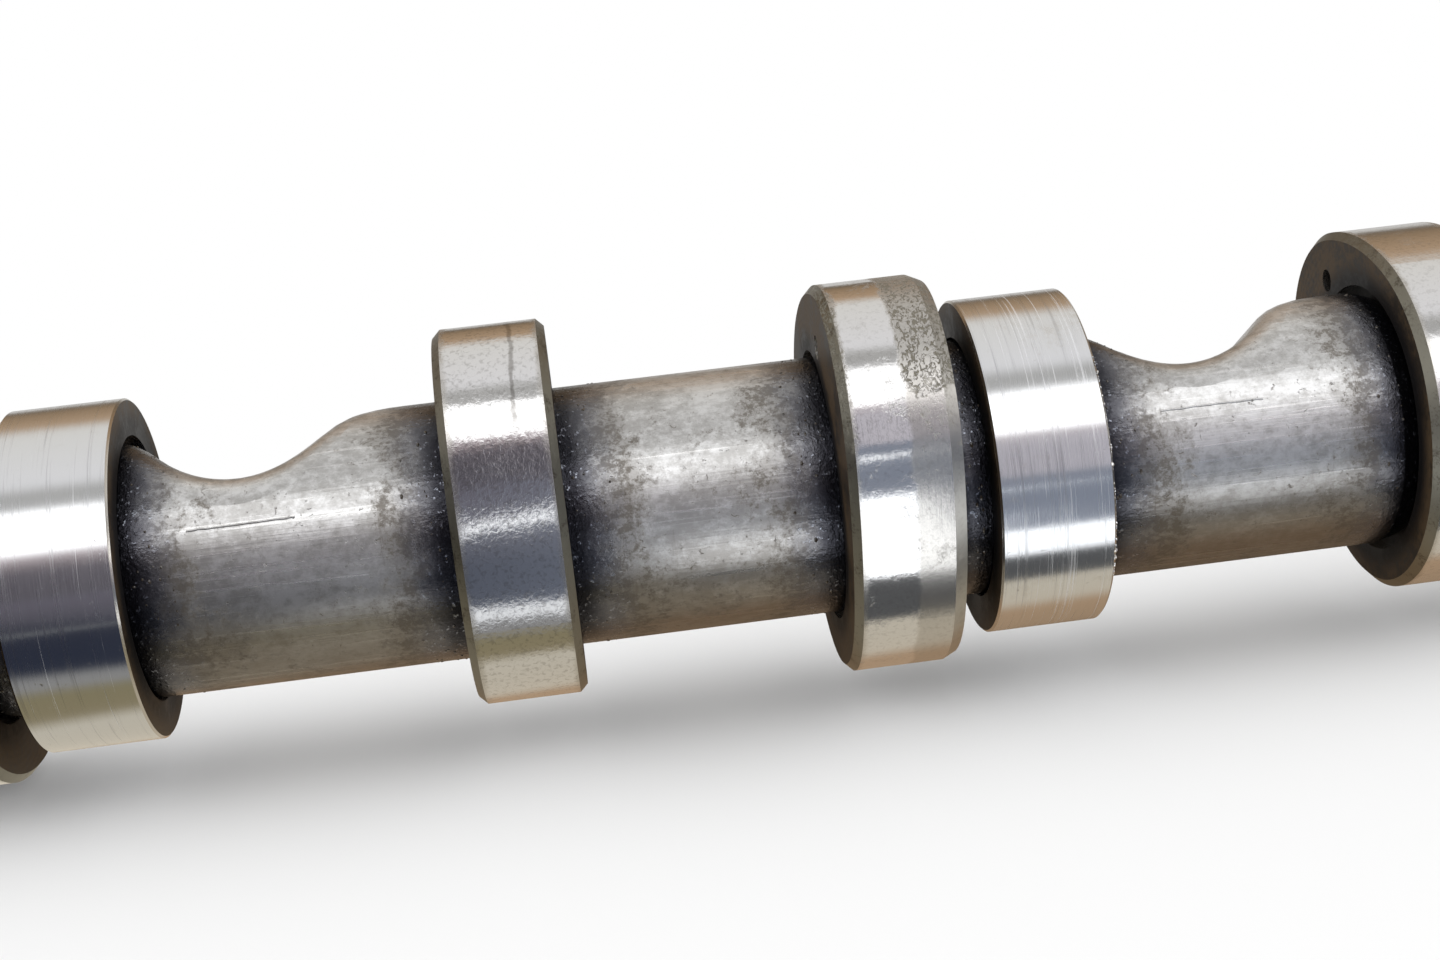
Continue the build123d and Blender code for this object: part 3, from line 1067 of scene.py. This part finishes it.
# what the metal mirrors overhead, by degrees up from the front horizon and over to the back
skyBands = [
    (0, (0.045, 0.042, 0.05)),
    (17, (0.055, 0.05, 0.06)),
    (21, (0.10, 0.085, 0.092)),
    (27, (0.23, 0.19, 0.20)),
    (31, (1.0, 1.01, 1.03)),
    (56, (1.0, 1.01, 1.03)),
    (60, (0.24, 0.24, 0.24)),
    (70, (0.23, 0.23, 0.225)),
    (77, (0.43, 0.43, 0.44)),
    (124, (0.40, 0.395, 0.38)),
    (134, (0.24, 0.17, 0.11)),
    (154, (0.15, 0.105, 0.065)),
    (164, (0.07, 0.055, 0.04)),
    (171, (0.30, 0.295, 0.285)),
    (180, (0.26, 0.255, 0.25)),
]

# what it mirrors in the floor, in millimetres behind the axis, along lines that slant
# forward to the rear end
floorBands = [
    (-180, (0.065, 0.06, 0.075)),
    (-90, (0.05, 0.048, 0.06)),
    (-60, (0.016, 0.018, 0.028)),
    (-28, (0.014, 0.017, 0.028)),
    (-25, (0.15, 0.15, 0.15)),
    (-22, (0.15, 0.15, 0.15)),
    (-20, (0.13, 0.115, 0.07)),
    (-13, (0.14, 0.12, 0.075)),
    (-10, (0.30, 0.28, 0.235)),
    (3, (0.30, 0.27, 0.22)),
    (8, (0.22, 0.155, 0.10)),
    (40, (0.12, 0.085, 0.055)),
    (75, (0.07, 0.055, 0.04)),
    (110, (0.22, 0.215, 0.205)),
    (220, (0.34, 0.335, 0.325)),
]
skyGain = 2.3  # both sets of bands shine this many times brighter than they are written

# cards on the floor in front of the shaft that only the metal sees: corners in
# millimetres, and brightness
cards = {
    "longCard": ([(216, -78), (232, -82), (330, -178), (300, -196)], 1.9),
    "streakCard": ([(160, -60), (204, -66), (204, -61), (160, -55)], 0.3),
    "glintCard": ([(224, -30.8), (256, -30.8), (256, -26.6), (224, -26.6)], 1.2),
    "nearCard": ([(262, -60), (292, -60), (292, -25.5), (262, -25.5)], 2.3),
    "stripCard": ([(293, -38.5), (345, -40), (345, -27), (293, -25)], 1.9),
    "shadeCard": ([(262, -25), (345, -24.5), (345, -18), (262, -16)], 0.12),
}

studioLook = {
    "floorHalf": 3.0,
    "whitePaper": 1.0,
    "shadowReach": (60 * mm, 190 * mm),
    "slant": 0.242,
    "squeeze": 9.2,
    "slantFrom": 205 * mm,
    "slantSpan": (-20 * mm, 110 * mm),
    "shadowLift": 0.15,
    "rearGlow": (0.12, 0.135, 0.17, 1),
    "rearGlowFrom": (202 * mm, 300 * mm),
    "rearGlowEdge": (-25 * mm, -31 * mm),
    "rearSky": (0.31, 0.30, 0.33, 1),
    "rearSkyTurn": (0.02, 0.12),
    "rearSkyTop": (30, 22),
    "skyLevel": 1.0,
    "floorTone": (0.82, 0.82, 0.82, 1),
    "cardTint": (0.93, 0.96, 1.0, 1),
    "cardLift": 0.3 * mm,
    "keyLift": 92.0,
    "keyDistance": 0.9,
    "keySize": (1.3, 1.8),
    "keyPower": 4.0,
}


# what the camera sees plainly, and what the metal mirrors straight to it
def cameraAndGloss(g):
    path = g.add("ShaderNodeLightPath").outputs
    clear = g.math("MAXIMUM", path["Is Camera Ray"], path["Is Transmission Ray"])
    direct = g.math("LESS_THAN", path["Diffuse Depth"], 0.5)  # not by way of a dull surface
    return clear, g.both(path["Is Glossy Ray"], direct)


def flatPiece(name, corners, height, material):
    mesh = bpy.data.meshes.new(name)
    mesh.from_pydata([(x, y, height) for x, y in corners], [], [(0, 1, 2, 3)])
    mesh.materials.append(material)
    piece = bpy.data.objects.new(name, mesh)
    scene.collection.objects.link(piece)
    return piece


def emission(g, shade, strength):
    glow = g.add("ShaderNodeEmission")
    g.feed(glow.inputs["Color"], shade)
    g.feed(glow.inputs["Strength"], strength)
    return glow.outputs[0]


def mixShaders(g, factor, a, b):
    node = g.add("ShaderNodeMixShader")
    for place, item in enumerate((factor, a, b)):
        g.feed(node.inputs[place], item)
    return node.outputs[0]


# the floor as the metal mirrors it
def mirroredFloor(g, look, x, y):
    least, most = look["slantSpan"]
    rearward = g.math("MINIMUM", g.less(x, look["slantFrom"]), most)
    rearward = g.math("MAXIMUM", rearward, least)
    slanted = g.plus(y, g.both(rearward, g.plus(g.both(y, look["squeeze"]), look["slant"])))
    first, last = floorBands[0][0], floorBands[-1][0]
    place = g.less(g.both(slanted, 1 / mm), first)
    place = g.math("DIVIDE", place, last - first, clamp=True)
    bands = g.ramp(place, [((at - first) / (last - first), shade) for at, shade in floorBands])
    rear = g.both(g.fade(x, *look["rearGlowFrom"]), g.fade(slanted, *look["rearGlowEdge"]))
    return emission(g, g.mix(rear, bands, look["rearGlow"], "LIGHTEN"), skyGain)


# floor: plain paper that keeps the shadow near the shaft and goes white further off
def makeFloor(look):
    low, high = cadBox
    middle, half = (low[0] + high[0]) / 2, look["floorHalf"]
    material, g, surface = bareMaterial("floor")
    x, y, _ = g.split(g.add("ShaderNodeTexCoord").outputs["Object"])
    seen, glossy = cameraAndGloss(g)
    mirrored = mirroredFloor(g, look, x, y)
    beyond = g.less(g.math("ABSOLUTE", g.less(x, middle)), (high[0] - low[0]) / 2)
    far = g.fade(g.math("MAXIMUM", g.math("ABSOLUTE", y), beyond), *look["shadowReach"])
    paper = g.add("ShaderNodeBsdfDiffuse")
    paper.inputs["Color"].default_value = look["floorTone"]
    white = emission(g, (1, 1, 1, 1), look["whitePaper"])
    lift = g.both(g.blend(far, look["shadowLift"], 1.0), seen)
    plain = mixShaders(g, lift, paper.outputs[0], white)
    g.feed(surface, mixShaders(g, glossy, plain, mirrored))
    left, right = middle - half, middle + half
    corners = [(left, -half), (right, -half), (right, half), (left, half)]
    flatPiece("floor", corners, low[2], material)


def makeCard(name, corners, brightness, look):
    material, g, surface = bareMaterial(name)
    g.feed(surface, emission(g, look["cardTint"], brightness))
    corners = [(x * mm, y * mm) for x, y in corners]
    card = flatPiece(name, corners, cadBox[0][2] + look["cardLift"], material)
    card.visible_camera = False
    card.visible_diffuse = False
    card.visible_shadow = False
    card.visible_transmission = False


# one wide soft lamp overhead; the metal mirrors the sky's bands, not the lamp
def makeKey(look):
    data = bpy.data.lights.new("key", "AREA")
    data.shape = "RECTANGLE"
    data.size, data.size_y = look["keySize"]
    data.energy = look["keyPower"]
    lamp = bpy.data.objects.new("key", data)
    scene.collection.objects.link(lamp)
    angle = math.radians(look["keyLift"])
    back = Vector((0, -math.cos(angle), math.sin(angle)))
    lamp.location = Vector((cameraLook["along"], 0, 0)) + back * look["keyDistance"]
    lamp.rotation_mode = "QUATERNION"
    lamp.rotation_quaternion = (-back).to_track_quat("-Z", "Y")
    lamp.visible_glossy = False


def makeWorld(look):
    world = bpy.data.worlds.new("studio")
    scene.world = world
    world.use_nodes = True
    world.node_tree.nodes.clear()
    g = Graph(world.node_tree)
    x, y, z = g.split(g.add("ShaderNodeTexCoord").outputs["Generated"])
    over = g.math("ARCTAN2", g.math("MAXIMUM", z, 0.0), g.both(y, -1.0))
    over = g.math("DIVIDE", over, math.pi)
    bands = g.ramp(over, [(degrees / 180, shade) for degrees, shade in skyBands])
    top, foot = look["rearSkyTop"]
    low = g.both(g.fade(over, top / 180, foot / 180), g.fade(x, *look["rearSkyTurn"]))
    bands = g.mix(low, bands, look["rearSky"])
    seen, glossy = cameraAndGloss(g)
    background = g.add("ShaderNodeBackground")
    g.feed(background.inputs["Color"], g.mix(glossy, (1, 1, 1, 1), bands))
    strength = g.blend(glossy, g.blend(seen, look["skyLevel"], 1.0), skyGain)
    g.feed(background.inputs["Strength"], strength)
    g.feed(g.add("ShaderNodeOutputWorld").inputs["Surface"], background.outputs[0])


makeFloor(studioLook)
for name, (corners, brightness) in cards.items():
    makeCard(name, corners, brightness, studioLook)
makeKey(studioLook)
makeWorld(studioLook)
scene.view_settings.view_transform = "Standard"
print("studio lit")
